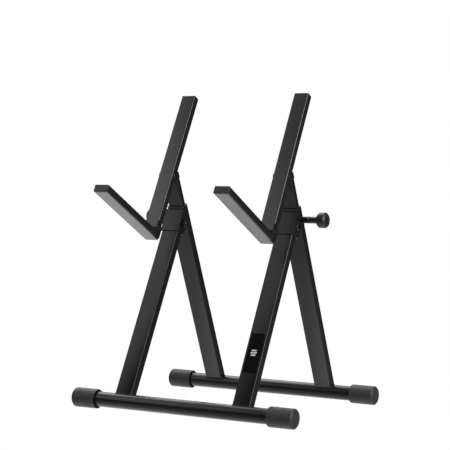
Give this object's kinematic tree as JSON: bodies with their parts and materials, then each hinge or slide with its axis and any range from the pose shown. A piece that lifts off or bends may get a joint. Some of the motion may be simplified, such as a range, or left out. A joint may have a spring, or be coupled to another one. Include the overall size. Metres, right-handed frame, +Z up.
{
  "type": "folding amplifier stand",
  "caption": "Folding black steel stand with two padded L-shaped arms that hold an amplifier or monitor at a backward tilt.",
  "frame": {"origin": "on the floor, at the middle of the stand's outline", "axes": "+X across the stand to its right as a user faces it, +Y from the front foot to the rear foot, +Z up"},
  "size_m": [0.414, 0.4006, 0.5339],
  "materials": {
    "foot_paint": "satin black powder coat",
    "leg_paint": "satin black powder coat",
    "sheet_paint": "satin black powder coat",
    "bar_rubber": "smooth matte black rubber",
    "bar_steel": "black coated steel",
    "end_plastic": "fine grained black plastic",
    "foot_rubber": "matte moulded black rubber",
    "black_hardware": "black zinc plated steel",
    "plain_steel": "bright zinc plated steel",
    "knob_plastic": "moulded black plastic",
    "pad_plastic": "natural nylon",
    "label_gloss": "gloss black"
  },
  "bodies": {
    "rear_frame": {"rear_base_tube": "foot_paint", "rear_cap_left": "foot_rubber", "rear_cap_right": "foot_rubber", "rear_leg_left": "leg_paint", "hinge_bracket_left": "sheet_paint", "guide_collar_left": "end_plastic", "clamp_boss_left": "sheet_paint", "pivot_bolt_left": "black_hardware", "pivot_nut_left": "black_hardware", "rear_leg_right": "leg_paint", "hinge_bracket_right": "sheet_paint", "guide_collar_right": "end_plastic", "clamp_boss_right": "sheet_paint", "pivot_bolt_right": "black_hardware", "pivot_nut_right": "black_hardware"},
    "front_frame": {"front_base_tube": "foot_paint", "front_cap_left": "foot_rubber", "front_cap_right": "foot_rubber", "label_plate": "label_gloss", "pivot_washers": "pad_plastic", "front_leg_left": "leg_paint", "pivot_sleeve_left": "plain_steel", "front_leg_right": "leg_paint", "pivot_sleeve_right": "plain_steel"},
    "riser_left": {"riser_tube_left": "leg_paint", "riser_plug_left": "end_plastic", "tilt_fork_left": "sheet_paint", "tilt_rivet_left": "black_hardware", "tilt_washer_left": "black_hardware"},
    "back_bar_left": {"bar_tube_left": "bar_steel", "bar_cover_left": "bar_rubber", "bar_cap_left": "end_plastic", "tilt_sleeve_left": "plain_steel"},
    "arm_left": {"arm_tube_left": "bar_steel", "arm_cover_left": "bar_rubber", "arm_cap_left": "end_plastic", "arm_bracket_left": "sheet_paint", "arm_pin_left": "black_hardware"},
    "clamp_pad_left": {"pressure_pad_left": "pad_plastic"},
    "clamp_left": {"clamp_screw_left": "plain_steel", "clamp_knob_left": "knob_plastic"},
    "riser_right": {"riser_tube_right": "leg_paint", "riser_plug_right": "end_plastic", "tilt_fork_right": "sheet_paint", "tilt_rivet_right": "black_hardware", "tilt_washer_right": "black_hardware"},
    "back_bar_right": {"bar_tube_right": "bar_steel", "bar_cover_right": "bar_rubber", "bar_cap_right": "end_plastic", "tilt_sleeve_right": "plain_steel"},
    "arm_right": {"arm_tube_right": "bar_steel", "arm_cover_right": "bar_rubber", "arm_cap_right": "end_plastic", "arm_bracket_right": "sheet_paint", "arm_pin_right": "black_hardware"},
    "clamp_pad_right": {"pressure_pad_right": "pad_plastic"},
    "clamp_right": {"clamp_screw_right": "plain_steel", "clamp_knob_right": "knob_plastic"}
  },
  "joints": [
    {"name": "leg_fold", "type": "hinge", "parent": "rear_frame", "child": "front_frame", "pos_m": [0, 0.02788, 0.3087], "axis": [1, 0, 0], "range_deg": [0, 49]},
    {"name": "height_left", "type": "slide", "parent": "rear_frame", "child": "riser_left", "axis": [0, -0.4153, 0.9097], "range_m": [-0.045, 0.06]},
    {"name": "tilt_left", "type": "hinge", "parent": "riser_left", "child": "back_bar_left", "pos_m": [-0.111, 0.00351, 0.39195], "axis": [-1, 0, 0], "range_deg": [0, 35]},
    {"name": "arm_fold_left", "type": "hinge", "parent": "back_bar_left", "child": "arm_left", "pos_m": [-0.111, -0.04232, 0.30352], "axis": [-1, 0, 0], "range_deg": [0, 90]},
    {"name": "clamp_travel_left", "type": "slide", "parent": "rear_frame", "child": "clamp_pad_left", "axis": [-1, 0, 0], "range_m": [0, 0.0025]},
    {"name": "clamp_turn_left", "type": "hinge", "parent": "clamp_pad_left", "child": "clamp_left", "pos_m": [-0.111, 0.04533, 0.32057], "axis": [-1, 0, 0], "range_deg": [0, 735]},
    {"name": "height_right", "type": "slide", "parent": "rear_frame", "child": "riser_right", "axis": [0, -0.4153, 0.9097], "range_m": [-0.045, 0.06]},
    {"name": "tilt_right", "type": "hinge", "parent": "riser_right", "child": "back_bar_right", "pos_m": [0.111, 0.00351, 0.39195], "axis": [-1, 0, 0], "range_deg": [0, 35]},
    {"name": "arm_fold_right", "type": "hinge", "parent": "back_bar_right", "child": "arm_right", "pos_m": [0.111, -0.04232, 0.30352], "axis": [-1, 0, 0], "range_deg": [0, 90]},
    {"name": "clamp_travel_right", "type": "slide", "parent": "rear_frame", "child": "clamp_pad_right", "axis": [1, 0, 0], "range_m": [0, 0.0025]},
    {"name": "clamp_turn_right", "type": "hinge", "parent": "clamp_pad_right", "child": "clamp_right", "pos_m": [0.111, 0.04533, 0.32057], "axis": [1, 0, 0], "range_deg": [0, 735]}
  ],
  "couplings": [
    {"joint": "clamp_turn_left", "follows": "clamp_travel_left", "rad_per_m": 5026.5},
    {"joint": "clamp_turn_right", "follows": "clamp_travel_right", "rad_per_m": 5026.5}
  ]
}
